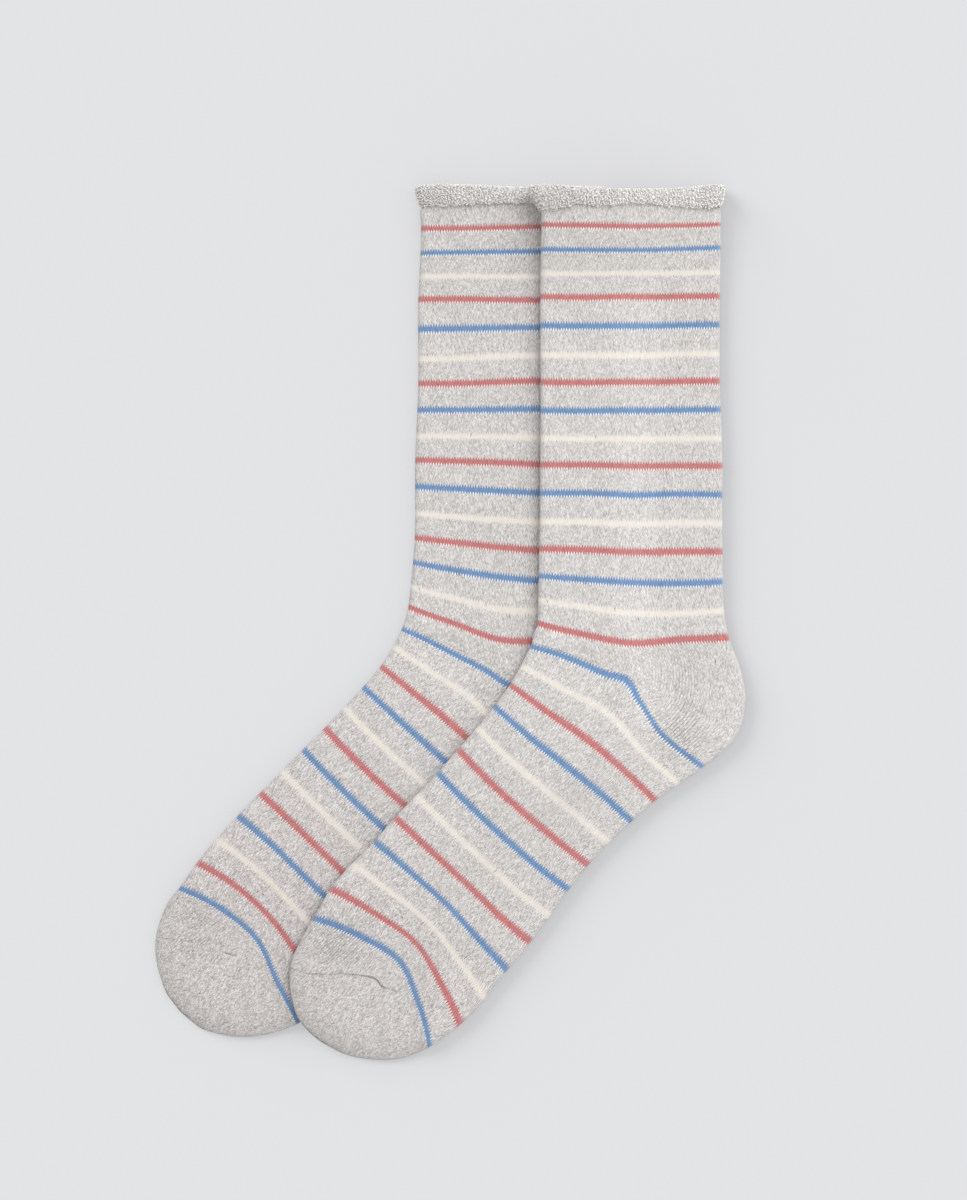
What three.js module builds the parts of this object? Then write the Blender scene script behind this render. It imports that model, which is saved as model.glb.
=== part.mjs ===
// A pair of striped terry socks, laid flat with one sock partly on the other.
// Millimetres. +X to the right, +Y towards the cuffs, +Z up from the table.

import * as THREE from 'three';

// Knit
const WALL = 2.5;
const LAYER_GAP = 0.9;
const HALF_THICKNESS = WALL + LAYER_GAP / 2;
const FOLD_DEPTH = 3.4;
const FOLD_SHARE = 0.4;

// How steeply a bow starts at a fold, as a share of its height a quarter across
const BOW_START = 1.4;

// Rolled edge at the mouth
const ROLL_LENGTH = 10.8;
const ROLL_RISE = 2.8;
const ROLL_SQUASHED = 1.6;
const ROLL_EASE = 36;

// How the top sock lies on the other
const SOCK_GAP = 0.4;
const MAX_PUFF = 0.5;
const DRAPE_START = 3;
const DRAPE_LENGTH = 24;
const ROLL_DRAPE = 20;
const PAST_MOUTH = 45;

// The toe pocket thins out softly towards its rim
const TOE_START = 388;
const TOE_EASE = 25;
const TOE_ROUNDING = 8;
const TOE_LENGTH = 28;

// Closed end beyond the last course of the toe
const TIP_REACH = 0.6;
const TIP_INSET = 3;
const TIP_BULGE = 0.1;

// Mesh density
const OUTER_STEP = 8;
const TOE_STEP = 3.5;
const OUTLINE_STEP = 4;
const INNER_STEP = 17;
const FOLD_STEPS = 3;
const FACE_STEPS = 8;
const ROLL_TURNS = 9;
const TIP_ANGLES = [35, 60, 78];

const MARL_GREY = 0xd5d1ce;

// One row for each course that a stripe or a fold follows, from the mouth down to the toe.
// course: courses knitted since the first red stripe
// frontX, frontY and backX, backY: where it meets the front fold (shin, instep) and the back fold
// bowA, bowB, bowC: how far it bows towards the mouth a quarter, half and three quarters across
// puff: thickness added where the heel or toe pocket stands fuller
const TOP_SOCK = [
  [-10, 38.6, 172.4, 114.2, 172.4, 0, 0, 0, 0],
  [0, 38.6, 165.3, 114.2, 167.0, 0.4, 0.4, 0.4, 0],
  [42, 38.2, 136.3, 114.0, 136.7, -0.1, -0.2, 0.1, 0],
  [84, 38.4, 100.2, 114.0, 101.4, 0.1, 0.2, -0.1, 0],
  [126, 38.2, 66.1, 115.1, 65.3, 0.6, 0.8, 0.2, 0],
  [168, 37.8, 30.9, 115.1, 30.0, -0.6, -1.2, -1.1, 0],
  [210, 37.0, -0.6, 117.6, -6.1, -3.2, -5.2, -2.2, 0.2],
  [214, 36.3, -3.2, 122.4, -19.5, -1.5, -2.0, 0.5, 0.4],
  [217, 35.7, -5.2, 124.7, -32.6, -0.3, 0.6, 0.1, 0.5],
  [220.5, 35.1, -7.8, 121.2, -47.5, 2.5, 5.3, 1.5, 0.4],
  [224, 34.4, -9.9, 106.7, -61.5, 6.0, 11.1, 2.2, 0.2],
  [252, 25.6, -26.2, 87.4, -75.0, 0.5, 1.8, 1.2, 0],
  [266, 18.9, -35.5, 77.3, -83.8, -0.3, 0, 0.3, 0],
  [294, 3.4, -54.0, 59.2, -101.8, -1.1, -1.7, -1.3, 0],
  [308, -5.0, -63.6, 50.8, -112.4, -1.0, -1.7, -1.8, 0],
  [336, -23.1, -82.5, 34.9, -134.2, 0.1, -0.2, -1.0, 0],
  [350, -31.5, -92.2, 25.2, -146.0, 1.1, 1.7, 0.5, 0],
  [378, -49.6, -111.9, 5.5, -169.0, 6.2, 9.2, 5.5, 0.2],
  [392, -56.7, -124.1, -6.3, -177.9, 9.1, 13.3, 8.4, 0.4],
  [403, -61.7, -132.9, -12.2, -181.2, 7.6, 10.9, 7.6, 0.5],
  [414, -65.5, -140.9, -18.9, -183.8, 5.6, 8.0, 5.6, 0.5],
  [425, -66.9, -149.7, -26.9, -184.7, 3.8, 5.5, 3.8, 0.4],
  [436, -65.8, -158.0, -36.1, -184.1, 2.2, 3.0, 2.2, 0.2],
  [443, -64.0, -164.5, -42.3, -182.8, 1.0, 1.4, 1.0, 0.1],
  [448, -61.6, -168.6, -46.6, -181.0, 0.4, 0.6, 0.4, 0],
  [451, -59.6, -170.9, -50.0, -178.8, 0.1, 0.2, 0.1, 0],
];

const UNDER_SOCK = [
  [-10, -12.2, 172.8, 64.3, 172.8, 0, 0, 0, 0],
  [0, -11.8, 165.7, 64.3, 166.1, -0.1, 0.2, 0.1, 0],
  [42, -13.0, 135.4, 63.8, 135.4, 0, 0, 0, 0],
  [84, -13.0, 100.2, 64.0, 101.8, 0, 0, 0, 0],
  [126, -14.3, 67.8, 62.6, 65.7, -0.3, -0.2, -0.1, 0],
  [168, -14.5, 35.1, 62.6, 30.0, -0.8, -1.2, -1.3, 0],
  [210, -17.2, 6.1, 63.8, -6.1, -3.6, -6.8, -4.8, 0.2],
  [214, -17.7, 3.6, 67.6, -19.4, -2.4, -4.0, -3.4, 0.4],
  [217, -18.3, 1.5, 69.3, -31.7, -1.2, -1.1, -1.5, 0.5],
  [220.5, -19.0, -0.6, 65.2, -46.6, 1.9, 4.0, 0.8, 0.4],
  [224, -19.7, -2.7, 50.8, -58.4, 4.9, 9.3, 3.1, 0.2],
  [252, -29.0, -19.1, 30.0, -69.0, 0.9, 1.1, 0.3, 0],
  [266, -36.5, -27.9, 21.4, -76.4, -0.7, -0.8, -1.1, 0],
  [294, -52.9, -45.2, 3.8, -93.9, -0.9, -1.4, -1.1, 0],
  [308, -61.7, -54.0, -5.0, -104.4, -0.8, -1.1, -1.0, 0],
  [336, -79.8, -72.4, -21.8, -125.0, 0.5, 0.1, -0.6, 0],
  [350, -89.0, -81.7, -31.5, -135.0, 1.1, 1.2, 0.4, 0],
  [378, -105.8, -101.0, -50.4, -157.3, 4.9, 5.6, 3.4, 0.2],
  [392, -113.4, -111.9, -61.3, -167.8, 8.0, 11.4, 6.6, 0.4],
  [403, -118.0, -117.8, -66.8, -170.7, 7.4, 10.5, 7.4, 0.5],
  [414, -121.6, -125.8, -74.3, -173.4, 5.6, 8.0, 5.6, 0.5],
  [425, -123.7, -134.6, -82.7, -174.8, 3.8, 5.5, 3.8, 0.4],
  [436, -123.2, -143.8, -91.9, -174.7, 2.2, 3.0, 2.2, 0.2],
  [443, -121.5, -150.2, -99.2, -173.2, 1.0, 1.4, 1.0, 0.1],
  [448, -119.0, -156.9, -105.3, -171.0, 0.4, 0.6, 0.4, 0],
  [451, -116.5, -160.3, -109.2, -167.9, 0.1, 0.2, 0.1, 0],
];

const COURSE = 0;
const FRONT = 1;
const BACK = 3;
const BOWS = 5;
const PUFF = 8;

const smooth = (t) => {
  const clamped = Math.min(Math.max(t, 0), 1);
  return clamped * clamped * (3 - 2 * clamped);
};

// Smooth curve from start to end with given slopes, at t from 0 to 1.
function hermite(start, leaving, end, arriving, t) {
  return (
    start * (2 * t ** 3 - 3 * t ** 2 + 1) +
    leaving * (t ** 3 - 2 * t ** 2 + t) +
    end * (3 * t ** 2 - 2 * t ** 3) +
    arriving * (t ** 3 - t ** 2)
  );
}

// Distance along the sock from the mouth to each row, by the longer of its two folds.
function measureRows(rows) {
  const lengths = [0];
  for (let i = 1; i < rows.length; i++) {
    const moved = (x) => Math.hypot(rows[i][x] - rows[i - 1][x], rows[i][x + 1] - rows[i - 1][x + 1]);
    lengths.push(lengths[i - 1] + Math.max(moved(FRONT), moved(BACK)));
  }
  return lengths;
}

// Slope of one column at row i, weighted to the nearer neighbour.
function slopeAt(rows, lengths, i, column) {
  const rise = (a, b) => (rows[b][column] - rows[a][column]) / (lengths[b] - lengths[a]);
  if (i === 0) return rise(0, 1);
  if (i === rows.length - 1) return rise(i - 1, i);
  const before = lengths[i] - lengths[i - 1];
  const after = lengths[i + 1] - lengths[i];
  return (rise(i - 1, i) * after + rise(i, i + 1) * before) / (before + after);
}

// A row of the table at any distance along the sock, on smooth curves through the rows given.
function rowAt(rows, lengths, distance) {
  let i = 0;
  while (i < rows.length - 2 && distance > lengths[i + 1]) i++;
  const span = lengths[i + 1] - lengths[i];
  const t = (distance - lengths[i]) / span;
  return rows[i].map((start, column) => {
    const end = rows[i + 1][column];
    if (column === COURSE) return start + (end - start) * t;
    const leaving = slopeAt(rows, lengths, i, column) * span;
    const arriving = slopeAt(rows, lengths, i + 1, column) * span;
    return hermite(start, leaving, end, arriving, t);
  });
}

// How far a course bows at the fraction across, on a smooth curve through its three bows.
function bowAt(row, across) {
  const [first, middle, last] = row.slice(BOWS, PUFF);
  const bows = [0, first, middle, last, 0];
  const slopes = [BOW_START * first, middle / 2, (last - first) / 2, -middle / 2, -BOW_START * last];
  const place = Math.min(Math.max(across, 0), 1) * 4;
  const i = Math.min(Math.floor(place), 3);
  return hermite(bows[i], slopes[i], bows[i + 1], slopes[i + 1], place - i);
}

// Stations across one face, from the front fold to the back fold: how far in, and how high.
function faceStations(width, depth) {
  const stations = [];
  for (let k = 0; k <= FOLD_STEPS; k++) {
    const angle = ((Math.PI / 2) * k) / FOLD_STEPS;
    stations.push([depth * (1 - Math.cos(angle)), Math.sin(angle)]);
  }
  for (let k = 1; k < FACE_STEPS; k++) {
    stations.push([depth + ((width - 2 * depth) * k) / FACE_STEPS, 1]);
  }
  for (let k = FOLD_STEPS; k >= 0; k--) {
    const angle = ((Math.PI / 2) * k) / FOLD_STEPS;
    stations.push([width - depth * (1 - Math.cos(angle)), Math.sin(angle)]);
  }
  return stations;
}

// Share of the thickness that is left at a point of the toe pocket.
function toeThickness(row, outline, x, y) {
  const toe = smooth((row[COURSE] - TOE_START) / TOE_EASE);
  if (toe === 0) return 1;
  const fromRim = (TIP_REACH - distanceOutside(outline, x, y)) / TOE_ROUNDING;
  const rim = Math.min(Math.max(fromRim, 0), 1);
  return 1 + toe * (Math.sqrt(1 - (1 - rim) ** 2) - 1);
}

// One ring round the flat tube.
// grown: how far outside the outer face it lies, so that -WALL is the inner face
// reach: how far from the row it lies, towards the mouth
// squash: share of the full thickness that is left
// inset and bulge: how much shorter it is at each fold, and how far it bows towards the toe
function ringAt(row, { grown = 0, reach = 0, squash = 1, inset = 0, bulge = 0 }, sock) {
  const front = new THREE.Vector2(row[FRONT], row[FRONT + 1]);
  const along = new THREE.Vector2(row[BACK], row[BACK + 1]).sub(front);
  const length = along.length();
  along.normalize();
  const towardsMouth = new THREE.Vector2(-along.y, along.x);
  const start = inset - grown;
  const width = length - 2 * start;
  const halfHeight = (HALF_THICKNESS + row[PUFF] / 2 + grown) * squash;
  const depth = FOLD_DEPTH * (halfHeight / HALF_THICKNESS);
  const stations = faceStations(width, Math.min(depth, width * FOLD_SHARE));
  const place = ([inwards, height], side) => {
    const across = (start + inwards) / length;
    const bow = bowAt(row, across) + reach - bulge * (1 - (2 * across - 1) ** 2);
    const x = front.x + along.x * (start + inwards) + towardsMouth.x * bow;
    const y = front.y + along.y * (start + inwards) + towardsMouth.y * bow;
    const { support, lift } = sock.ground(x, y);
    const middle = support + lift + HALF_THICKNESS + row[PUFF] / 2;
    const rise = side * height * halfHeight * toeThickness(row, sock.outline, x, y);
    return new THREE.Vector3(x, y, Math.max(middle + rise, support));
  };
  const topSide = stations.map((station) => place(station, 1));
  const underSide = stations.slice(1, -1).map((station) => place(station, -1));
  return [...topSide, ...underSide.reverse()];
}

// Distances along the sock for its outer rings, from the toe to the mouth, closer over the toe.
function outerStations(total) {
  const toeCount = Math.round(TOE_LENGTH / TOE_STEP);
  const legCount = Math.round((total - TOE_LENGTH) / OUTER_STEP);
  const stations = [];
  for (let k = 0; k < toeCount; k++) stations.push(total - (TOE_LENGTH * k) / toeCount);
  for (let k = legCount; k > 0; k--) stations.push(((total - TOE_LENGTH) * k) / legCount);
  return stations;
}

// All the rings of one sock, from the outside of the toe up to the mouth, over the roll, and
// down the inside to the toe again, where the inside ends a wall's thickness short.
function sockRings(sock) {
  const { rows } = sock;
  const lengths = measureRows(rows);
  const total = lengths[lengths.length - 1];
  const lastRow = rows[rows.length - 1];
  const rings = [];
  for (const degrees of [...TIP_ANGLES].reverse()) {
    const angle = THREE.MathUtils.degToRad(degrees);
    const shape = {
      reach: -TIP_REACH * Math.sin(angle),
      squash: Math.cos(angle),
      inset: TIP_INSET * (1 - Math.cos(angle) + Math.sin(angle)),
      bulge: TIP_BULGE * Math.sin(angle),
    };
    rings.push(ringAt(lastRow, shape, sock));
  }
  for (const station of outerStations(total)) {
    rings.push(ringAt(rowAt(rows, lengths, station), {}, sock));
  }
  const radius = (ROLL_RISE + WALL) / 2;
  const centre = (ROLL_RISE - WALL) / 2;
  const firstAngle = Math.PI + Math.asin(centre / radius);
  const lastAngle = -Math.PI / 2;
  for (let k = 0; k <= ROLL_TURNS; k++) {
    const angle = firstAngle + ((lastAngle - firstAngle) * k) / ROLL_TURNS;
    const shape = {
      grown: centre + radius * Math.sin(angle),
      reach: (ROLL_LENGTH / 2) * (1 + Math.cos(angle)),
    };
    rings.push(ringAt(rows[0], shape, sock));
  }
  const innerEnd = lengths[lengths.length - 3];
  const innerCount = Math.round(innerEnd / INNER_STEP);
  for (let k = 0; k <= innerCount; k++) {
    const row = rowAt(rows, lengths, (innerEnd * k) / innerCount);
    rings.push(ringAt(row, { grown: -WALL }, sock));
  }
  return rings;
}

// Skin over a list of rings, closed at both ends by strips from the top side to the underside.
function skinOver(rings) {
  const count = rings[0].length;
  const half = count / 2;
  const positions = rings.flat().flatMap((point) => point.toArray());
  const faces = [];
  for (let r = 0; r + 1 < rings.length; r++) {
    for (let i = 0; i < count; i++) {
      const a = r * count + i;
      const b = r * count + ((i + 1) % count);
      faces.push(a, b, a + count, b, b + count, a + count);
    }
  }
  const closeEnd = (base, flipped) => {
    for (let i = 0; i < half; i++) {
      const a = base + i;
      const b = base + i + 1;
      const c = base + ((count - i - 1) % count);
      const d = base + ((count - i) % count);
      const corners = i === 0 ? [[a, b, c]] : i === half - 1 ? [[a, b, d]] : [[a, b, c], [a, c, d]];
      corners.forEach(([p, q, s]) => faces.push(...(flipped ? [p, s, q] : [p, q, s])));
    }
  };
  closeEnd(0, true);
  closeEnd((rings.length - 1) * count, false);
  const geometry = new THREE.BufferGeometry();
  geometry.setAttribute('position', new THREE.Float32BufferAttribute(positions, 3));
  geometry.setIndex(faces);
  geometry.computeVertexNormals();
  return geometry;
}

// Share of the roll's lift that is left at a distance below the roll.
const easeBelowRoll = (rows, y) => 1 - smooth((rows[0][FRONT + 1] - y) / ROLL_EASE);

// Outline of a sock in plan, carried on past the mouth so that only its sides and toe count.
function planOutline(rows) {
  const lengths = measureRows(rows);
  const total = lengths[lengths.length - 1];
  const count = Math.round(total / OUTLINE_STEP);
  const course = (k) => rowAt(rows, lengths, (total * k) / count);
  const outline = [[rows[0][FRONT], rows[0][FRONT + 1] + PAST_MOUTH]];
  for (let k = 0; k <= count; k++) outline.push(course(k).slice(FRONT, FRONT + 2));
  for (let k = count; k >= 0; k--) outline.push(course(k).slice(BACK, BACK + 2));
  outline.push([rows[0][BACK], rows[0][BACK + 1] + PAST_MOUTH]);
  return outline;
}

// Distance from a point to an outline, negative inside it.
function distanceOutside(outline, x, y) {
  let nearest = Infinity;
  let inside = false;
  outline.forEach(([x1, y1], i) => {
    const [x2, y2] = outline[(i + 1) % outline.length];
    const dx = x2 - x1;
    const dy = y2 - y1;
    const t = Math.min(Math.max(((x - x1) * dx + (y - y1) * dy) / (dx * dx + dy * dy || 1), 0), 1);
    nearest = Math.min(nearest, Math.hypot(x - x1 - t * dx, y - y1 - t * dy));
    if (y1 > y !== y2 > y && x < x1 + ((y - y1) / (y2 - y1)) * dx) inside = !inside;
  });
  return inside ? -nearest : nearest;
}

// The under sock lies on the table and is lifted a little where its roll lies under the leg.
function underGround(x, y) {
  return { support: 0, lift: ROLL_SQUASHED * easeBelowRoll(UNDER_SOCK, y) };
}

// The top sock lies on the under sock, and eases down to the table beyond its edge.
const UNDER_OUTLINE = planOutline(UNDER_SOCK);

function topGround(x, y) {
  const beyond = distanceOutside(UNDER_OUTLINE, x, y);
  const drape = DRAPE_LENGTH + ROLL_DRAPE * easeBelowRoll(UNDER_SOCK, y);
  const cover = 1 - smooth((beyond - DRAPE_START) / drape);
  const rolled = (ROLL_RISE + ROLL_SQUASHED) * easeBelowRoll(UNDER_SOCK, y);
  const coverHeight = 2 * HALF_THICKNESS + MAX_PUFF + SOCK_GAP + rolled;
  return { support: cover * coverHeight, lift: ROLL_SQUASHED * easeBelowRoll(TOP_SOCK, y) };
}

function makeSock(name, rows, ground) {
  const sock = { rows, ground, outline: planOutline(rows) };
  const material = new THREE.MeshStandardMaterial({ color: MARL_GREY, roughness: 0.95, metalness: 0 });
  const mesh = new THREE.Mesh(skinOver(sockRings(sock)), material);
  mesh.name = name;
  return mesh;
}

// The pair stands with the middle of its footprint at the origin.
const pair = new THREE.Group();
pair.add(makeSock('under_sock', UNDER_SOCK, underGround));
pair.add(makeSock('top_sock', TOP_SOCK, topGround));
const footprint = new THREE.Box3().setFromObject(pair).getCenter(new THREE.Vector3());
pair.position.set(-footprint.x, -footprint.y, 0);

export default pair;
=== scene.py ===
# A pair of striped terry socks, laid flat with one sock partly on the other.
# The tables and lengths are in millimetres, as in the part's source; meshes are made in metres.

import math

import bpy
import numpy as np
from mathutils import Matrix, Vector


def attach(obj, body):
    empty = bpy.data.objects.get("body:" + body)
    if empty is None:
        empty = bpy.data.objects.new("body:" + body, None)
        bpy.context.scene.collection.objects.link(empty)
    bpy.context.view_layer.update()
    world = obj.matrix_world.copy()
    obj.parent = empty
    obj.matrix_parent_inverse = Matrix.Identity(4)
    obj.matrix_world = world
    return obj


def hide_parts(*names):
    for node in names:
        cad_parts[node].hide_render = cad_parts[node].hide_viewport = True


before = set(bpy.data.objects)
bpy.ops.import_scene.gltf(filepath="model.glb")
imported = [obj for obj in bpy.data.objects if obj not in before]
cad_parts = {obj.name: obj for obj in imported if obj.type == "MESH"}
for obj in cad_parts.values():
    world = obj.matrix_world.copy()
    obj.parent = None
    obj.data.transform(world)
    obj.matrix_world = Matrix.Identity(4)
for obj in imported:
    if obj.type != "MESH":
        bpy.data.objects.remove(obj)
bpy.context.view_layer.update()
MM = 0.001

# Small amounts: against dividing by nothing, to stay before the last ring, and to round down safely
TINY = 1e-9
BEFORE_LAST = 0.001
SURELY_WHOLE = 0.1

# Knit, as in the part's source: a wall on both sides of a thin gap of air
WALL = 2.5
LAYER_GAP = 0.9
HALF_THICKNESS = WALL + LAYER_GAP / 2

# Folds: the width each takes, the most it takes of a narrow course, the power that makes it squarer,
# and the share of the half thickness by which it sinks towards what it lies on
FOLD_DEPTH = 3.4
FOLD_SHARE = 0.4
FOLD_SQUARENESS = 0.5
FOLD_SINK = 0.45

# How steeply a course's bow leaves a fold, in bows at the nearer quarter
BOW_START = 1.4

# Rolled edge at the mouth: its length, how much thicker it is than plain cloth, and how far it lifts
# its own sock, which eases off over a length below the mouth
ROLL_LENGTH = 10.8
ROLL_RISE = 2.8
ROLL_SQUASHED = 1.6
ROLL_EASE = 36

# How the top sock lies on the other: the gap, the fullest pocket beneath it, where it starts to come
# down beyond the other's outline, the length it takes, and the length that the roll adds
SOCK_GAP = 0.4
MAX_PUFF = 0.5
DRAPE_START = 3
DRAPE_LENGTH = 24
ROLL_DRAPE = 20
PAST_MOUTH = 45

# Closed end beyond the last course of the toe
TIP_REACH = 0.6
TIP_INSET = 3
TIP_BULGE = 0.1

# Stitches: columns (wales) round the sock, rows (courses) from one coloured stripe to the next,
# the length of a course, and how high the columns stand
NEEDLES = 144
WALES_PER_FACE = NEEDLES // 2
POINTS_PER_WALE = 2
STRIPE_COURSES = 14
LAST_STRIPE_COURSE = 392
COURSE_LENGTH = 0.84
RIB_HEIGHT = 0.04

# Heel: the plain pocket lies between a leg course and a foot course, and the knit changes over at the
# gore, where it turns more sharply round a corner: how far around, and by how many courses
LAST_LEG_COURSE = 210
FIRST_FOOT_COURSE = 224
GORE_COURSE = 217
GORE_REACH = 10
GORE_RISE = 3.3

# Stripes: how many colours take turns, half a stripe's width in courses, and how much less that is in
# blue, at the mouth, and in the back half beside the heel, which comes in over a share of the way across
COLOURS = 3
STRIPE_HALF = 1.77
BLUE_NARROWING = 0.14
MOUTH_NARROWING = 0.22
HEEL_NARROWING = 0.45
HEEL_EASE = 0.1

# Mesh density
OUTER_RINGS = 250
INNER_RINGS = 24
INNER_END_ROW = -3
ROLL_RINGS = 20
OUTLINE_RINGS = 120
TIP_ANGLES = (80, 68, 54, 38, 20)

# Unevenness of the marled yarn's lightness, by leg of a stitch, by fibre, in streaks and in patches,
# about its middle, its strength at the leg, and what it gains under the painted shade of foot and toe
LEGS_PER_WALE = 2
FIBRES_PER_WALE = 3
FIBRES_PER_COURSE = 2
STREAKS_PER_COURSE = 1.3
PATCHES_PER_WALE = 0.16
PATCHES_PER_COURSE = 0.13
FLECK = 0.26
FINE = 0.8
STREAK = 0.18
PATCH = 0.2
MARL_MIDDLE = 0.515
LEG_MARL = 0.86
TOE_MARL = 0.27

# The same in the dyed yarn of the stripes, and how much calmer and flatter the cream yarn is
DYED_GRAIN = 0.26
DYED_STREAK = 0.3
CREAM_CALM = 0.7
CREAM_FLAT = 0.5

# White flecks beside a stripe: the course they lie in, the share of a stitch's width they take, the
# share of them that is missing, and their strength
WHITE_COURSE = 2
WHITE_WIDTH = 0.6
WHITE_MISSING = 0.2
WHITE_STRENGTH = 0.9

# Neps, the rare dark knots in the yarn, and specks, fibres a little darker than the rest: the share
# of stitches without one, and how dark they are
NEP_SHARE = 0.9995
NEP_STRENGTH = 0.8
SPECK_SHARE = 0.95
SPECK_SHADE = 0.16

# Third coordinates that keep one kind of chance from following another
NEP_DRAW = 3.0
FIBRE_DRAW = 5.0
PATCH_DRAW = 7.0
SPECK_DRAW = 9.0

# Form of a stitch: how far its two legs slant, in courses, and the height left at its ends and sides
SLANT = 1.8
STITCH_END = 0.35
STITCH_SIDE = 0.5
STITCH_DEPTH = 0.0002

# Shade and relief of the gaps between stitches, of the wales' gaps where they stand out, and of the
# linked seam
GROOVE_SHADE = 0.26
RIB_SHADE = 0.4
RIB_SHARPNESS = 3
RIB_BUMP = 0.8
SEAM_SHADE = 0.6
SEAM_WIDTH = 0.35
SEAM_BUMP = 3
STREAK_BUMP = 0.4

# Painted shade: the foot is drawn darker than the leg by a share that comes in over some courses, and
# the yarn takes on a warmer tint as the painted shade deepens.
FOOT_PAINTED_SHADE = 0.092
FOOT_PAINTED_SHADE_START = 206
FOOT_PAINTED_SHADE_COURSES = 195
WARMTH = 8

# Surface of all yarn
ROUGHNESS = 0.95
SHEEN = 0.5
SHEEN_ROUGHNESS = 0.5
SPECULAR = 0.15

# Roll under its loops: how far it stands out, where it starts, how far it turns in behind its lower
# edge, and how far in from the folds its ends are pulled sideways
ROLL_BASE_RISE = 1.7
ROLL_BASE_INSET = 0.7
ROLL_TUCK = 0.6
FLARE_REACH = 8

# Terry loops: spacing of their rows, their number in each row, and the size of one, with how much of
# it is sunk in the cloth and how its sizes vary
LOOP_PITCH = 0.74
LOOP_FIRST_ROW = 0.6
LOOPS_ROUND = 172
LOOP_HEIGHT = 0.66
LOOP_REACH = 0.36
LOOP_YARN = 0.25
LOOP_SUNK = 0.25
HEIGHT_RANGE = (0.8, 1.2)
REACH_RANGE = (0.75, 1.3)
YARN_RANGE = (0.85, 1.2)

# How loops stray: along the sock in millimetres, round it in spacings, in direction, and in lean
ROW_JITTER = 0.18
COLUMN_JITTER = 0.35
LOOP_TURN = math.radians(60)
LOOP_LEAN = 0.35

# Mesh of a loop, and of every how many columns the rows' spacing is the mean
LOOP_STEPS = 4
LOOP_SIDES = 3
SPACING_COLUMNS = 4

# Light and dark in the pile: the shade at a loop's feet, and the fine grain of its yarn
PILE_SHADE = 0.93
LOOP_GRAIN = 0.3
LOOP_GRAIN_SCALE = 1800
LOOP_GRAIN_DEPTH = 0.0001

# The pile is rougher towards the front fold, over a share of the face: its loops are higher and darker.
ROUGH_REACH = 0.3
ROUGH_RISE = 0.45
ROUGH_SHADE = 0.55

# Soft rounding of the toe towards its rim
TOE_START = 388
TOE_EASE = 25
TOE_ROUNDING = 12
TOE_TAPER = 1.8

# Soft, slow unevenness of the cloth: wavelength, direction in degrees, phase, amount
UNDULATIONS = (
    (41, 12, 0.4, 0.16),
    (29, 68, 2.1, 0.14),
    (19, 131, 4.0, 0.09),
)

# Small unevenness of the roll's lower edge: wavelength, amount
RAGGED = ((3.7, 0.16), (6.1, 0.22), (10.3, 0.22))

# Waves of the roll's two edges are given at these shares of the way across a face.
WAVE_PLACES = (0, 0.08, 0.2, 0.33, 0.46, 0.58, 0.7, 0.82, 0.92, 1)

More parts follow.
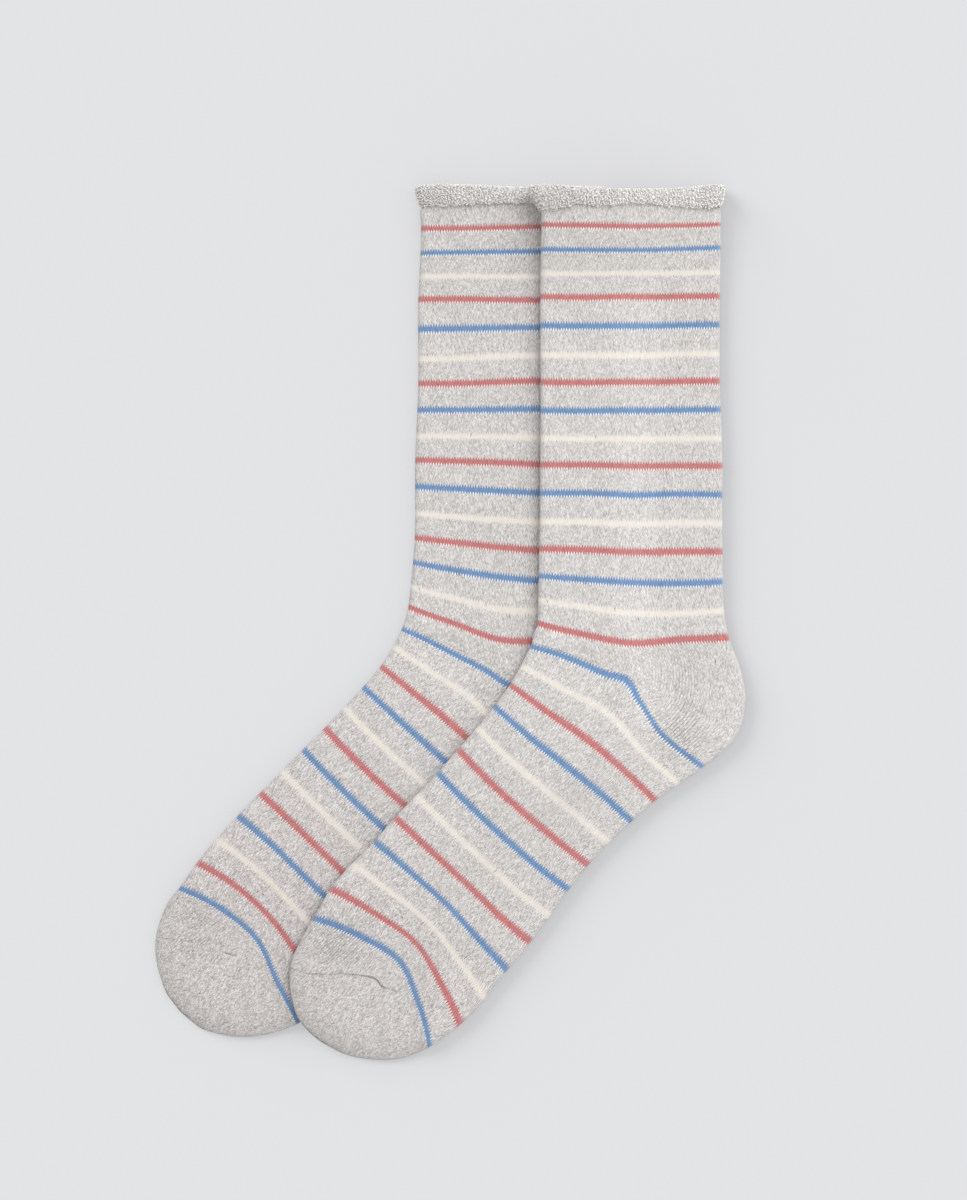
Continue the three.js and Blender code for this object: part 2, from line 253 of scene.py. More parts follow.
# One row for each course that a stripe or a fold follows, from the mouth down to the toe.
# course: courses knitted since the first red stripe
# frontX, frontY and backX, backY: where it meets the front fold (shin, instep) and the back fold
# bowA, bowB, bowC: how far it bows towards the mouth a quarter, half and three quarters across
# puff: thickness added where the heel or toe pocket stands fuller
TOP_SOCK = np.array([
    [-10, 38.6, 172.4, 114.2, 172.4, 0, 0, 0, 0],
    [0, 38.6, 165.2, 114.2, 166.7, -0.8, -1.3, -0.6, 0],
    [28, 38.3, 145.3, 114.1, 146.6, -0.4, -0.3, 0.1, 0],
    [42, 38.2, 135.9, 114.0, 136.8, -0.6, -0.3, 0, 0],
    [70, 38.3, 111.4, 113.9, 112.5, -0.4, -0.6, 0, 0],
    [84, 38.4, 100.0, 114.0, 101.1, -0.4, -0.3, 0, 0],
    [112, 38.3, 76.6, 114.8, 76.9, -0.3, -0.3, 0, 0],
    [126, 38.2, 65.5, 115.1, 65.3, 0, -0.3, 0.1, 0],
    [154, 38.0, 41.7, 115.0, 41.0, 0.1, -0.6, 0.2, 0],
    [168, 37.8, 30.5, 115.1, 29.4, -0.2, -0.8, -0.3, 0],
    [182, 37.6, 19.0, 115.2, 16.6, -0.9, -1.5, -1.3, 0],
    [196, 37.4, 9.1, 115.7, 4.7, -2.0, -3.4, -2.5, 0.1],
    [210, 37.1, -0.2, 117.6, -6.2, -3.5, -5.5, -2.5, 0.2],
    [214, 36.3, -3.2, 122.4, -19.5, -1.5, -2.0, 0.5, 0.4],
    [217, 35.6, -5.5, 124.7, -32.6, -0.3, 0.6, 0.1, 0.5],
    [220.5, 34.9, -8.2, 121.2, -47.5, 2.7, 5.0, 1.5, 0.4],
    [224, 34.0, -10.7, 106.5, -61.6, 6.6, 9.0, 1.5, 0.2],
    [238, 29.9, -18.8, 96.4, -68.7, 3.4, 6.2, 2.2, 0.1],
    [252, 25.5, -26.3, 86.8, -75.5, 1.0, 2.4, 1.9, 0],
    [266, 19.0, -35.4, 76.8, -84.3, -0.3, 0.3, 0.7, 0],
    [294, 3.9, -53.4, 58.7, -102.4, -1.3, -1.5, -1.2, 0],
    [308, -4.6, -63.2, 50.5, -112.8, -1.2, -1.7, -1.7, 0],
    [336, -22.4, -81.8, 34.4, -134.8, 0, 0, -0.8, 0],
    [350, -31.1, -91.8, 24.6, -146.7, 1.4, 2.3, 0.9, 0],
    [378, -49.4, -111.6, 4.8, -169.6, 6.4, 10.3, 6.4, 0.2],
    [392, -56.7, -124.1, -8.3, -179.1, 9.8, 15.1, 9.4, 0.4],
    [403, -61.7, -132.9, -12.8, -181.4, 7.9, 12.0, 7.4, 0.5],
    [414, -65.5, -140.9, -18.9, -183.8, 5.7, 8.6, 6.0, 0.5],
    [425, -66.9, -149.7, -26.9, -184.7, 3.8, 5.6, 3.9, 0.4],
    [436, -65.8, -158.0, -36.1, -184.1, 2.2, 3.0, 2.2, 0.2],
    [443, -64.0, -164.5, -42.3, -182.8, 1.0, 1.4, 1.0, 0.1],
    [448, -61.6, -168.6, -46.6, -181.0, 0.4, 0.6, 0.4, 0],
    [451, -59.6, -170.9, -50.0, -178.8, 0.1, 0.2, 0.1, 0],
])

UNDER_SOCK = np.array([
    [-10, -12.2, 172.8, 64.3, 172.8, 0, 0, 0, 0],
    [0, -11.8, 164.9, 64.3, 164.7, 0.1, 0.6, 0.8, 0],
    [28, -12.6, 144.7, 63.9, 144.6, 0.4, 0.2, 0.2, 0],
    [42, -13.0, 135.5, 63.8, 134.6, 0.3, 0.2, 0.1, 0],
    [70, -13.0, 110.2, 64.0, 112.0, -0.1, 0.4, 0.4, 0],
    [84, -13.0, 100.0, 64.0, 101.0, -0.1, 0.3, 0.5, 0],
    [112, -13.9, 77.9, 62.9, 76.0, 0.3, 0.5, 0.5, 0],
    [126, -14.3, 67.8, 62.6, 64.6, 0.3, 0.4, 0.1, 0],
    [154, -14.3, 45.5, 62.5, 41.3, -0.7, -0.9, -0.9, 0],
    [168, -14.5, 35.2, 62.6, 29.9, -0.9, -1.6, -1.6, 0],
    [182, -15.2, 24.9, 62.5, 18.6, -2.0, -3.3, -3.2, 0],
    [196, -16.2, 14.8, 62.4, 6.6, -3.3, -5.8, -4.0, 0.1],
    [210, -17.1, 6.7, 63.8, -6.1, -4.2, -7.9, -4.9, 0.2],
    [214, -17.7, 3.9, 67.6, -19.4, -2.6, -4.4, -3.4, 0.4],
    [217, -18.3, 1.5, 69.3, -31.7, -1.2, -1.3, -1.5, 0.5],
    [220.5, -19.2, -1.0, 65.2, -46.6, 1.9, 3.8, 0.8, 0.4],
    [224, -20.1, -3.4, 50.9, -58.4, 5.0, 8.4, 3.3, 0.2],
    [238, -23.7, -10.7, 40.3, -63.6, 2.4, 4.2, 0.9, 0.1],
    [252, -28.8, -18.8, 30.0, -69.0, 0.6, 0.9, -0.1, 0],
    [266, -36.1, -27.4, 21.4, -76.4, -0.8, -1.3, -1.4, 0],
    [294, -52.3, -44.6, 3.8, -93.9, -1.5, -2.2, -1.8, 0],
    [308, -61.4, -53.7, -5.0, -104.4, -1.4, -2.0, -1.8, 0],
    [336, -79.4, -71.9, -21.8, -125.0, -0.2, -0.7, -1.0, 0],
    [350, -88.8, -81.5, -31.5, -135.0, 0.8, 0.4, 0.1, 0],
    [378, -105.9, -101.2, -50.4, -157.3, 4.8, 5.5, 2.8, 0.2],
    [392, -113.6, -112.2, -63.5, -169.2, 7.8, 10.4, 4.9, 0.4],
    [403, -118.0, -117.8, -67.9, -171.2, 7.2, 10.0, 5.0, 0.5],
    [414, -121.6, -125.8, -74.3, -173.4, 5.6, 7.8, 4.6, 0.5],
    [425, -123.7, -134.6, -82.7, -174.8, 3.8, 5.5, 3.8, 0.4],
    [436, -123.2, -143.8, -91.9, -174.7, 2.2, 3.0, 2.2, 0.2],
    [443, -121.5, -150.2, -99.2, -173.2, 1.0, 1.4, 1.0, 0.1],
    [448, -119.0, -156.9, -105.3, -171.0, 0.4, 0.6, 0.4, 0],
    [451, -116.5, -160.3, -109.2, -167.9, 0.1, 0.2, 0.1, 0],
])
COURSE = 0
FRONT = slice(1, 3)
BACK = slice(3, 5)
BOWS = slice(5, 8)
PUFF = 8

# Where the tables' frame stands in the row's frame: the part centres its footprint on the origin.
SHIFT = (-0.47, 0.55)


def smooth(t):
    """Soft step from 0 to 1."""
    t = np.clip(t, 0, 1)
    return t * t * (3 - 2 * t)


def hermite(start, leaving, end, arriving, t):
    """Smooth curve from start to end with given slopes, at t from 0 to 1."""
    return (
        start * (2 * t**3 - 3 * t**2 + 1)
        + leaving * (t**3 - 2 * t**2 + t)
        + end * (3 * t**2 - 2 * t**3)
        + arriving * (t**3 - t**2)
    )


def measure_rows(rows):
    """Distance along the sock from the mouth to each row, by the longer of its two folds."""
    moved = np.diff(rows, axis=0)
    front = np.hypot(*moved[:, FRONT].T)
    back = np.hypot(*moved[:, BACK].T)
    return np.concatenate([[0], np.cumsum(np.maximum(front, back))])


def rows_at(rows, distances):
    """The table's columns at distances along the sock, on smooth curves through its rows."""
    lengths = measure_rows(rows)
    spans = np.diff(lengths)[:, None]
    rises = np.diff(rows, axis=0) / spans
    slopes = np.vstack([
        rises[:1],
        (rises[:-1] * spans[1:] + rises[1:] * spans[:-1]) / (spans[:-1] + spans[1:]),
        rises[-1:],
    ])
    i = np.clip(np.searchsorted(lengths, distances) - 1, 0, len(rows) - 2)
    t = ((distances - lengths[i]) / spans[i, 0])[:, None]
    made = hermite(rows[i], slopes[i] * spans[i], rows[i + 1], slopes[i + 1] * spans[i], t)
    made[:, COURSE] = (rows[i] + (rows[i + 1] - rows[i]) * t)[:, COURSE]
    return made


def bow_at(rows, across):
    """How far each course bows at the fractions across, on a smooth curve through its bows."""
    first, middle, last = rows[:, BOWS].T
    zero = np.zeros(len(rows))
    bows = np.stack([zero, first, middle, last, zero], axis=1)
    slopes = np.stack(
        [BOW_START * first, middle / 2, (last - first) / 2, -middle / 2, -BOW_START * last], axis=1
    )
    place = np.clip(across, 0, 1) * 4
    i = np.minimum(place.astype(int), 3)
    ring = np.arange(len(rows))[:, None]
    return hermite(bows[ring, i], slopes[ring, i], bows[ring, i + 1], slopes[ring, i + 1], place - i)


def face_stations(width, depth, half_height, shares):
    """How far in from the front fold, and how high from 0 to 1, at shares of the way across a face."""
    arc = math.pi / 2 * np.sqrt((depth**2 + half_height**2) / 2)
    total = 2 * arc + width - 2 * depth
    way = shares * total
    from_fold = np.minimum(way, total - way)
    angle = np.clip(from_fold / arc, 0, 1) * math.pi / 2
    inwards = np.where(from_fold < arc, depth * (1 - np.cos(angle)), depth + from_fold - arc)
    inwards = np.where(way <= total / 2, inwards, width - inwards)
    return inwards, np.sin(angle) ** FOLD_SQUARENESS


def distance_outside(outline, x, y):
    """Distance from points to an outline, negative inside it."""
    flat_x, flat_y = x.ravel(), y.ravel()
    nearest = np.full(flat_x.shape, np.inf)
    inside = np.zeros(flat_x.shape, bool)
    for (x1, y1), (x2, y2) in zip(outline, np.roll(outline, -1, axis=0)):
        dx, dy = x2 - x1, y2 - y1
        t = np.clip(((flat_x - x1) * dx + (flat_y - y1) * dy) / max(dx * dx + dy * dy, TINY), 0, 1)
        nearest = np.minimum(nearest, np.hypot(flat_x - x1 - t * dx, flat_y - y1 - t * dy))
        if y1 != y2:
            crossing = (y1 > flat_y) != (y2 > flat_y)
            inside ^= crossing & (flat_x < x1 + (flat_y - y1) / (y2 - y1) * dx)
    return np.where(inside, -nearest, nearest).reshape(x.shape)


def plan_outline(rows):
    """Outline of a sock in plan, carried on past the mouth so that only its sides and toe count."""
    courses = rows_at(rows, np.linspace(0, measure_rows(rows)[-1], OUTLINE_RINGS))
    beyond = np.array([0, PAST_MOUTH])
    return np.vstack([
        rows[0, FRONT] + beyond, courses[:, FRONT], courses[::-1, BACK], rows[0, BACK] + beyond
    ])


def ease_below_roll(rows, y):
    """Share of the roll's lift that is left at a distance below the roll."""
    return 1 - smooth((rows[0, 2] - y) / ROLL_EASE)


def under_ground(x, y):
    """What the under sock lies on, and how far its roll lifts it."""
    return np.zeros_like(x), ROLL_SQUASHED * ease_below_roll(UNDER_SOCK, y)


UNDER_OUTLINE = plan_outline(UNDER_SOCK)


def top_ground(x, y):
    """What the top sock lies on, the under sock and then the table, and how far its roll lifts it."""
    beyond = distance_outside(UNDER_OUTLINE, x, y)
    drape = DRAPE_LENGTH + ROLL_DRAPE * ease_below_roll(UNDER_SOCK, y)
    cover = 1 - smooth((beyond - DRAPE_START) / drape)
    rolled = (ROLL_RISE + ROLL_SQUASHED) * ease_below_roll(UNDER_SOCK, y)
    cover_height = 2 * HALF_THICKNESS + MAX_PUFF + SOCK_GAP + rolled
    return cover * cover_height, ROLL_SQUASHED * ease_below_roll(TOP_SOCK, y)


def plain_rings(rows, distances, grown):
    """Rings square to the sock at distances along it, grown outwards by so much."""
    none = np.zeros(len(distances))
    return dict(
        rows=rows_at(rows, distances), grown=none + grown, reach=none, high=none, low=none,
        squash=none + 1, inset=none, bulge=none,
    )


def sock_rings(rows):
    """Rings of a sock's skin: outside from the toe to the mouth, over the roll, inside to the toe."""
    total = measure_rows(rows)[-1]
    angles = np.radians(TIP_ANGLES)
    tip = plain_rings(rows, total + 0 * angles, 0)
    tip.update(
        reach=-TIP_REACH * np.sin(angles),
        squash=np.cos(angles),
        inset=TIP_INSET * (1 - np.cos(angles) + np.sin(angles)),
        bulge=TIP_BULGE * np.sin(angles),
    )
    outside = plain_rings(rows, np.linspace(total, 0, OUTER_RINGS), 0)
    turns = np.linspace(math.pi + ROLL_TUCK, -math.pi / 2, ROLL_RINGS)
    height = ROLL_BASE_RISE / 2
    roll = plain_rings(rows, 0 * turns, 0)
    roll.update(
        grown=height + np.where(turns < 0, height + WALL, height) * np.sin(turns),
        reach=ROLL_BASE_INSET + (ROLL_LENGTH / 2 - ROLL_BASE_INSET) * (1 + np.cos(turns)),
        high=(1 + np.cos(turns)) / 2,
        low=(1 - np.cos(turns)) / 2 * (turns > 0),
    )
    inner_end = measure_rows(rows)[INNER_END_ROW]
    inside = plain_rings(rows, np.linspace(inner_end / INNER_RINGS, inner_end, INNER_RINGS), -WALL)
    parts = [tip, outside, roll, inside]
    return {name: np.concatenate([part[name] for part in parts]) for name in tip}


def relief(sock, x, y):
    """How far the cloth stands above its plain surface at points of a face."""
    rise = np.zeros_like(x)
    for wavelength, angle, phase, amount in UNDULATIONS:
        along = x * math.cos(math.radians(angle)) + y * math.sin(math.radians(angle))
        rise += amount * (np.sin(along / wavelength * 2 * math.pi + phase + sock["phase"]) - 1) / 2
    for x1, y1, x2, y2, width, depth in sock["creases"]:
        dx, dy = x2 - x1, y2 - y1
        t = np.clip(((x - x1) * dx + (y - y1) * dy) / (dx * dx + dy * dy), 0, 1)
        distance = np.hypot(x - x1 - t * dx, y - y1 - t * dy)
        rise -= depth * np.exp(-(distance / width) ** 2)
    return rise


def ring_points(sock, rings, shares):
    """Points of each ring at shares of the way round: 0 to 1 over the top face, 1 to 2 beneath."""
    front = rings["rows"][:, FRONT]
    chord = rings["rows"][:, BACK] - front
    length = np.hypot(*chord.T)[:, None]
    along = chord / length
    to_mouth = np.stack([-along[:, 1], along[:, 0]], axis=1)
    start = (rings["inset"] - rings["grown"])[:, None]
    puff = rings["rows"][:, PUFF, None]
    width = length - 2 * start
    half = (HALF_THICKNESS + puff / 2 + rings["grown"][:, None]) * rings["squash"][:, None]
    depth = np.minimum(FOLD_DEPTH * half / HALF_THICKNESS, width * FOLD_SHARE)
    beneath = shares > 1
    way = np.where(beneath, 2 - shares, shares)[None, :]
    inwards, height = face_stations(width, depth, half, way)
    across = (start + inwards) / length
    bow = bow_at(rings["rows"], across) + rings["reach"][:, None]
    bow -= rings["bulge"][:, None] * (1 - (2 * across - 1) ** 2)
    for edge in ("high", "low"):
        bow += rings[edge][:, None] * np.interp(across, WAVE_PLACES, sock[edge])
    for wavelength, amount in RAGGED:
        wave = np.sin((start + inwards) / wavelength * 2 * math.pi + sock["phase"] + wavelength)
        bow += amount * rings["low"][:, None] * wave
    way_across = start + inwards
    for edge, (at_front, at_back) in (("high", sock["flare"]), ("low", sock["tuck"])):
        flare = at_back * np.exp(-(((width - inwards) / FLARE_REACH) ** 2))
        flare -= at_front * np.exp(-((inwards / FLARE_REACH) ** 2))
        way_across += flare * rings[edge][:, None]
    x = front[:, :1] + along[:, :1] * way_across + to_mouth[:, :1] * bow
    y = front[:, 1:] + along[:, 1:] * way_across + to_mouth[:, 1:] * bow

    toe = smooth((rings["rows"][:, COURSE, None] - TOE_START) / TOE_EASE)
    rim = np.clip((TIP_REACH - distance_outside(sock["outline"], x, y)) / TOE_ROUNDING, 0, 1)
    thinned = toe * (1 - rim) ** TOE_TAPER
    height *= 1 - thinned
    support, lift = sock["ground"](x, y)
    middle = support + lift + (HALF_THICKNESS + puff / 2) * (1 - FOLD_SINK * (1 - height) ** 2)
    side = np.where(beneath, -1, 1)[None, :]
    pressed = relief(sock, x, y) * height * (rings["grown"] > -WALL)[:, None]
    z = np.maximum(middle + side * (height * half + pressed), support)
    return np.stack([x, y, z], axis=2)


def grid_normals(points):
    """Outward normals of a grid of points that closes round its second direction."""
    along = np.gradient(points, axis=0)
    around = np.roll(points, -1, axis=1) - np.roll(points, 1, axis=1)
    normals = np.cross(around, along)
    return normals / np.maximum(np.linalg.norm(normals, axis=2, keepdims=True), TINY)


def way_along(points):
    """Distance of each point from the first ring, measured along its own wale."""
    steps = np.linalg.norm(np.diff(points, axis=0), axis=2)
    return np.vstack([np.zeros(points.shape[1]), np.cumsum(steps, axis=0)])


def course_layers(rings, points):
    """Courses as the knit shows them, counted from the leg and from the foot towards the heel."""
    course = rings["rows"][:, COURSE]
    outer = len(TIP_ANGLES) + OUTER_RINGS
    way = way_along(points)
    leg_side = np.repeat(course[:, None], points.shape[1], axis=1)
    foot_side = leg_side.copy()
    falling = course[:outer][::-1]
    rows_way = way[:outer][::-1]
    for column in range(points.shape[1]):
        leg_end = np.interp(LAST_LEG_COURSE, falling, rows_way[:, column])
        foot_end = np.interp(FIRST_FOOT_COURSE, falling, rows_way[:, column])
        leg_side[:, column] = LAST_LEG_COURSE + (leg_end - way[:, column]) / COURSE_LENGTH
        foot_side[:, column] = FIRST_FOOT_COURSE - (way[:, column] - foot_end) / COURSE_LENGTH
    in_leg = course[:, None] <= LAST_LEG_COURSE
    in_foot = course[:, None] >= FIRST_FOOT_COURSE
    leg_side = np.where(in_leg, course[:, None], leg_side)
    foot_side = np.where(in_foot, course[:, None], foot_side)
    roll = slice(outer, outer + ROLL_RINGS)
    leg_side[roll] = course[outer] - (way[roll] - way[outer - 1]) / COURSE_LENGTH
    return leg_side, foot_side


def corner_at_gore(sock, x, y):
    """Courses by which the knit turns more sharply round the corner where the heel's gore ends."""
    centre_x, centre_y = sock["gore"]
    near = 1 - np.hypot(x - centre_x, y - centre_y) / GORE_REACH
    return GORE_RISE * np.clip(near, 0, 1)


def narrowing_of(course, shares):
    """Courses by which stripes are narrower: near the mouth, and in the back half beside the heel."""
    mouth = MOUTH_NARROWING * (1 - smooth((course - STRIPE_COURSES) / (2 * STRIPE_COURSES)))
    across = np.where(shares > 1, 2 - shares, shares)
    behind = smooth((across - 0.5) / HEEL_EASE)
    by_heel = np.abs(course - FIRST_FOOT_COURSE) < STRIPE_COURSES / 2
    return mouth + HEEL_NARROWING * behind * by_heel


def seam_layer(sock, x, y):
    """Distance from the line where the toe is linked, and how deep the line is there."""
    table = sock["seam"]
    line = np.interp(x, table[:, 0], table[:, 1])
    slope = np.interp(x, table[:, 0], np.gradient(table[:, 1], table[:, 0]))
    depth = np.interp(x, table[:, 0], table[:, 2], left=0, right=0)
    return np.stack([(y - line) / np.hypot(1, slope), depth], axis=2)


def painted_shade_of(sock, course, x, y):
    """Painted shade as a factor on the yarn's lightness, lower on the foot and toe, and how plainly its
    wales stand out.
    """
    on_foot = smooth((course - FOOT_PAINTED_SHADE_START) / FOOT_PAINTED_SHADE_COURSES)
    tone = sock["tone"] * (1 - FOOT_PAINTED_SHADE * on_foot)
    ribbed = np.zeros_like(x)
    for cx, cy, radius, amount in sock["ribbed"]:
        ribbed += amount * (1 - smooth(np.hypot(x - cx, y - cy) / radius))
    return np.stack([tone + 0 * x, ribbed], axis=2)


def knit_faces(count, around):
    """Quads over the rings as ring and column of each corner, and the strips that close both ends."""
    ring, column = np.mgrid[0:count - 1, 0:around]
    rings = np.stack([ring, ring, ring + 1, ring + 1], axis=2).reshape(-1, 4)
    columns = np.stack([column, column + 1, column + 1, column], axis=2).reshape(-1, 4)
    k = np.arange(1, around // 2 - 1)
    strip = np.stack([k, around - k, around - k - 1, k + 1], axis=1)
    return rings, columns, strip


def make_piece(name, vertices, faces, layers, material):
    """A shaded mesh from points in millimetres and faces, with UV layers given for each corner."""
    mesh = bpy.data.meshes.new(name)
    mesh.from_pydata(((vertices + [*SHIFT, 0]) * MM).tolist(), [], faces)
    for layer, values in layers.items():
        uv = mesh.uv_layers.new(name=layer)
        uv.data.foreach_set("uv", np.asarray(values, np.float32).ravel())
    mesh.polygons.foreach_set("use_smooth", np.ones(len(mesh.polygons), bool))
    mesh.materials.append(material)
    mesh.update()
    piece = bpy.data.objects.new(name, mesh)
    bpy.context.scene.collection.objects.link(piece)
    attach(piece, "root")
    return piece


def make_knit(name, sock, material):
    """A sock as a closed double-walled skin, with its stitches counted in UV layers."""
    rings = sock_rings(sock["rows"])
    steps = WALES_PER_FACE * POINTS_PER_WALE
    shares = np.arange(2 * steps) / steps
    points = ring_points(sock, rings, shares)
    count, around = points.shape[:2]
    course = rings["rows"][:, COURSE]
    outer = len(TIP_ANGLES) + OUTER_RINGS

    leg_side, foot_side = course_layers(rings, points)
    foot_side += corner_at_gore(sock, points[..., 0], points[..., 1])
    # Painted shade of the yarn, and how plainly the wales stand out, at every point
    painted_shades = painted_shade_of(sock, course[:, None], points[..., 0], points[..., 1])
    seams = seam_layer(sock, points[..., 0], points[..., 1])
    normals = grid_normals(points)
    ribs = np.where(np.arange(around) % POINTS_PER_WALE == 0, -1, 1)[None, :, None]
    rib_height = RIB_HEIGHT * (1 + painted_shades[..., 1:]) * (np.arange(count) < outer)[:, None, None]
    points += normals * ribs * rib_height
    points[..., 2] = np.maximum(points[..., 2], 0)

    rings_of, columns_of, strip = knit_faces(count, around)
    wrapped = columns_of % around
    widths = np.hypot(*(rings["rows"][:, BACK] - rings["rows"][:, FRONT]).T)
    toe_width = np.interp(LAST_STRIPE_COURSE, course[:outer][::-1], widths[:outer][::-1])
    spread = np.where(course > LAST_STRIPE_COURSE, widths / toe_width, 1)
    centre = np.where(columns_of[:, :1] < steps, WALES_PER_FACE / 2, WALES_PER_FACE * 1.5)
    wale = centre + (columns_of / POINTS_PER_WALE - centre) * spread[rings_of]
    on_foot = course[rings_of].mean(axis=1, keepdims=True) > GORE_COURSE
    shown = np.where(on_foot, foot_side[rings_of, wrapped], leg_side[rings_of, wrapped])
    quads = rings_of * around + wrapped
    last_ring = (count - 1) * around
    first, last = strip, (strip + last_ring)[:, ::-1]
    ends = [[0, around - 1, 1], [steps - 1, steps + 1, steps]]
    ends += [[corner + last_ring for corner in reversed(face)] for face in ends]
    faces = quads.tolist() + first.tolist() + last.tolist() + ends
    end_corners = np.concatenate([first.ravel(), last.ravel(), np.ravel(ends)])
    end_rings, end_columns = end_corners // around, end_corners % around

    def corners(on_quads, on_grid):
        return np.vstack([on_quads.reshape(-1, 2), on_grid[end_rings, end_columns]])

    stitches = np.stack([wale, shown], axis=2)
    end_wale = np.broadcast_to(np.arange(around) / POINTS_PER_WALE, (count, around))
    end_stitches = np.stack([end_wale, np.repeat(course[:, None], around, axis=1)], axis=2)
    narrower = narrowing_of(course[:, None], shares[None, :])
    heel = np.stack([on_foot + 0.0 * wale, narrower[rings_of, wrapped]], axis=2)
    layers = {
        "stitches": corners(stitches, end_stitches),
        "heel": corners(heel, np.ones((count, around, 2))),
        "tone": corners(painted_shades[rings_of, wrapped], painted_shades),
        "seam": corners(seams[rings_of, wrapped], seams),
    }
    piece = make_piece(name, points.reshape(-1, 3), faces, layers, material)
    roll = slice(outer, outer + ROLL_RINGS)
    return piece, points[roll], normals[roll]


def make_loops(name, sock, points, normals, material):
    """Terry loops standing all over the roll, each a small closed arch of yarn."""
    rng = np.random.default_rng(sock["seed"])
    count, around = points.shape[:2]
    way = way_along(points)[:, ::SPACING_COLUMNS].mean(axis=1)
    rows = np.arange(LOOP_PITCH * LOOP_FIRST_ROW, way[-1] - WALL, LOOP_PITCH)
    row, column = np.meshgrid(rows, np.arange(LOOPS_ROUND), indexing="ij")
    row = (row + rng.normal(0, ROW_JITTER, row.shape)).ravel()
    column = (column + rng.normal(0, COLUMN_JITTER, column.shape)).ravel()
    column = column * around / LOOPS_ROUND % around
    ring = np.clip(np.interp(row, way, np.arange(count)), 0, count - 1 - BEFORE_LAST)
    r, c = ring.astype(int), column.astype(int)
    fr, fc = (ring - r)[:, None], (column - c)[:, None]

    def between(grid):
        near = grid[r, c] * (1 - fc) + grid[r, (c + 1) % around] * fc
        far = grid[r + 1, c] * (1 - fc) + grid[r + 1, (c + 1) % around] * fc
        return near * (1 - fr) + far * fr

    base, up = between(points), between(normals)
    up /= np.linalg.norm(up, axis=1, keepdims=True)
    keep = (base[:, 2] > LOOP_HEIGHT) | (up[:, 2] > 0)
    base, up = base[keep], up[keep]
    total = len(base)
    down = between(np.gradient(points, axis=0))[keep]
    down -= up * (down * up).sum(axis=1, keepdims=True)
    down /= np.linalg.norm(down, axis=1, keepdims=True)
    side = np.cross(up, down)
    turn = rng.normal(0, LOOP_TURN, total)[:, None]
    way_of = down * np.cos(turn) + side * np.sin(turn)
    lean = np.cross(up, way_of) * rng.normal(0, LOOP_LEAN, total)[:, None]
    reach = LOOP_REACH * rng.uniform(*REACH_RANGE, total)[:, None, None]
    from_front = np.minimum(column, around - column)[keep] / (around / 2)
    rough = np.exp(-((from_front / ROUGH_REACH) ** 2))
    rise = LOOP_HEIGHT * rng.uniform(*HEIGHT_RANGE, total) * (1 + ROUGH_RISE * rough)
    thick = LOOP_YARN * rng.uniform(*YARN_RANGE, total)[:, None, None, None]

    angle = np.linspace(0, math.pi, LOOP_STEPS + 1)
    arch = base[:, None] - way_of[:, None] * reach * np.cos(angle)[None, :, None]
    above = rise[:, None, None] * (np.sin(angle) - LOOP_SUNK)[None, :, None]
    arch = arch + (up + lean)[:, None] * above
    tangent = np.gradient(arch, axis=1)
    tangent /= np.linalg.norm(tangent, axis=2, keepdims=True)
    flat = np.cross(way_of, up + lean)[:, None]
    flat = flat - tangent * (flat * tangent).sum(axis=2, keepdims=True)
    flat /= np.linalg.norm(flat, axis=2, keepdims=True)
    other = np.cross(tangent, flat)
    spin = np.arange(LOOP_SIDES) / LOOP_SIDES * 2 * math.pi
    tube = (
        arch[:, :, None]
        + flat[:, :, None] * thick * np.cos(spin)[None, None, :, None]
        + other[:, :, None] * thick * np.sin(spin)[None, None, :, None]
    )
    tube[..., 2] = np.maximum(tube[..., 2], 0)
    vertices = tube.reshape(-1, 3)

    per_loop = (LOOP_STEPS + 1) * LOOP_SIDES
    faces = []
    for step in range(LOOP_STEPS):
        for k in range(LOOP_SIDES):
            a, b = step * LOOP_SIDES + k, step * LOOP_SIDES + (k + 1) % LOOP_SIDES
            faces.append([a, b, b + LOOP_SIDES, a + LOOP_SIDES])
    quads = (np.array(faces)[None] + np.arange(total)[:, None, None] * per_loop).reshape(-1, 4)
    starts = np.arange(LOOP_SIDES)[::-1][None] + np.arange(total)[:, None] * per_loop
    ends = np.arange(LOOP_SIDES)[None] + per_loop - LOOP_SIDES + np.arange(total)[:, None] * per_loop
    shade = rng.uniform(0, 1, total) * (1 - ROUGH_SHADE * rough)
    corners = np.concatenate([quads.ravel(), starts.ravel(), ends.ravel()])
    step_of = corners % per_loop // LOOP_SIDES
    layers = {"yarn": np.stack([shade[corners // per_loop], step_of / LOOP_STEPS], axis=1)}
    return make_piece(
        name, vertices, quads.tolist() + starts.tolist() + ends.tolist(), layers, material
    )


def linear(red, green, blue):
    """A display colour from 0 to 255 as linear light."""
    parts = [part / 255 for part in (red, green, blue)]
    return [p / 12.92 if p < 0.04045 else ((p + 0.055) / 1.055) ** 2.4 for p in parts] + [1]


# Yarns: the marl between its darkest and lightest, the dyed yarns, what the marl is tinted with where
# painted shade darkens it, and the loops between their darkest and lightest
MARL_DARK = linear(156, 152, 150.5)
MARL_LIGHT = linear(246, 243, 240.5)
RED = linear(197, 122, 121)
BLUE = linear(112, 146, 188)
CREAM = linear(219, 213, 205)
FLECK_WHITE = linear(247, 245, 242)
NEP = linear(90, 88, 88)
WARM = (1.008, 0.985, 0.984, 1)
LOOP_DARK = linear(219, 215.5, 212.5)
LOOP_LIGHT = linear(250, 247.5, 244.5)

# Floor: its colour and the glow that makes up its brightness, its fine grain, its size in metres, and
# how far it lies below the socks
FLOOR = linear(153.6, 154, 155.2)
FLOOR_GLOW = linear(226.5, 227.5, 229.5)
FLOOR_GLOW_STRENGTH = 0.44
FLOOR_GRAIN = 0.01
FLOOR_GRAIN_SCALE = 900
FLOOR_SIZE = 30
FLOOR_DROP = 0.00005

